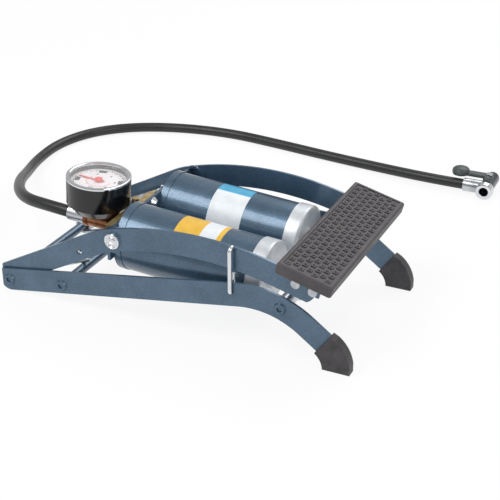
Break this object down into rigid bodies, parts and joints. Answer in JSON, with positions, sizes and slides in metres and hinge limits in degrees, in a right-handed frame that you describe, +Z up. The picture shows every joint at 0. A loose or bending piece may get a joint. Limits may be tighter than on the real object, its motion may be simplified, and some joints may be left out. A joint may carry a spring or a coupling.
{
  "type": "foot pump",
  "caption": "Twin-barrel foot pump, latched closed: sprung pedal arms over a bent-rail base, round pressure gauge, and a rubber hose with a lever valve chuck.",
  "frame": {"origin": "On the floor, under the middle of the pump without its hose.", "axes": "+X runs from the rear hinge to the feet, +Y to the pump's left side where the hose lies, +Z up."},
  "size_m": [0.4523, 0.3919, 0.0994],
  "materials": {
    "blue_steel": "blue-grey flaked stove enamel on steel",
    "plated_steel": "zinc-plated bright steel",
    "chrome_trim": "bright chrome plating",
    "silver_cap": "satin die-cast aluminium",
    "piston_alloy": "turned aluminium",
    "brass": "yellow brass",
    "red_brass": "copper-rich brass",
    "tread_plastic": "dark grey moulded plastic",
    "foot_plastic": "dark grey moulded plastic",
    "black_plastic": "gloss black moulded plastic",
    "grey_plastic": "dark grey moulded plastic",
    "clear_plastic": "clear moulded plastic",
    "dial_white": "white printed dial",
    "needle_red": "red moulded plastic",
    "hose_rubber": "black rubber hose",
    "seal_rubber": "black rubber",
    "guide_plastic": "white acetal"
  },
  "bodies": {
    "base": {"base_rail_right": "blue_steel", "base_rail_left": "blue_steel", "rear_cross_rod": "blue_steel", "middle_cross_rod": "blue_steel", "front_cross_rod": "blue_steel", "front_rod_spacers": "plated_steel", "foot_cap_right": "foot_plastic", "foot_cap_left": "foot_plastic", "return_spring_right": "plated_steel", "return_spring_left": "plated_steel"},
    "latch": {"latch_hook": "chrome_trim"},
    "arms": {"arm_right": "blue_steel", "arm_left": "blue_steel", "barrel_pivot_rivets": "chrome_trim", "pedal_plate": "blue_steel", "pedal_pad": "tread_plastic", "pedal_rivets": "plated_steel"},
    "rods": {"piston_right": "piston_alloy", "piston_left": "piston_alloy", "piston_seal_right": "seal_rubber", "piston_seal_left": "seal_rubber", "piston_rod_right": "plated_steel", "piston_rod_left": "plated_steel", "rod_nuts": "plated_steel"},
    "needle": {"gauge_needle": "needle_red"},
    "lever": {"chuck_lever": "grey_plastic"},
    "barrels": {"barrel_right": "blue_steel", "barrel_left": "blue_steel", "barrel_head_right": "blue_steel", "barrel_head_left": "blue_steel", "rod_cap_right": "silver_cap", "rod_cap_left": "silver_cap", "rod_guides": "guide_plastic", "valve_discs": "seal_rubber", "head_bracket": "blue_steel", "manifold": "brass", "manifold_bolts": "plated_steel", "manifold_plug": "brass", "centre_bolt": "chrome_trim", "brass_tee": "red_brass", "hose_collar": "plated_steel", "gauge_case": "black_plastic", "gauge_movement": "brass", "gauge_dial": "dial_white", "gauge_bezel": "clear_plastic", "gauge_lens": "clear_plastic", "air_hose": "hose_rubber", "chuck_body": "chrome_trim", "chuck_collar": "plated_steel", "chuck_seal": "seal_rubber", "lever_pin": "plated_steel"}
  },
  "joints": [
    {"name": "arm_lift", "type": "hinge", "parent": "base", "child": "arms", "pos_m": [-0.1457, 0, 0.0097], "axis": [0, -1, 0], "range_deg": [0, 30], "deforming": ["return_spring_right", "return_spring_left"]},
    {"name": "rod_swing", "type": "hinge", "parent": "base", "child": "rods", "pos_m": [0.0972, 0, 0.0413], "axis": [0, 1, 0], "range_deg": [0, 13.2]},
    {"name": "barrel_slide", "type": "slide", "parent": "rods", "child": "barrels", "axis": [-0.9976, 0, 0.0698], "range_m": [0, 0.0496]},
    {"name": "latch_swing", "type": "hinge", "parent": "base", "child": "latch", "pos_m": [0.05739, -0.07135, 0.04602], "axis": [0, -1, 0], "range_deg": [0, 80]},
    {"name": "needle_turn", "type": "hinge", "parent": "barrels", "child": "needle", "pos_m": [-0.08171, -0.028, 0.08665], "axis": [-0.0698, 0, -0.9976], "range_deg": [0, 270]},
    {"name": "lever_swing", "type": "hinge", "parent": "barrels", "child": "lever", "pos_m": [0.15984, 0.28839, 0.0158], "axis": [0, 0, -1], "range_deg": [0, 90]}
  ],
  "couplings": [
    {"joint": "rod_swing", "follows": "arm_lift", "ratio": 0.435},
    {"joint": "barrel_slide", "follows": "arm_lift", "m_per_rad": 0.0945}
  ]
}
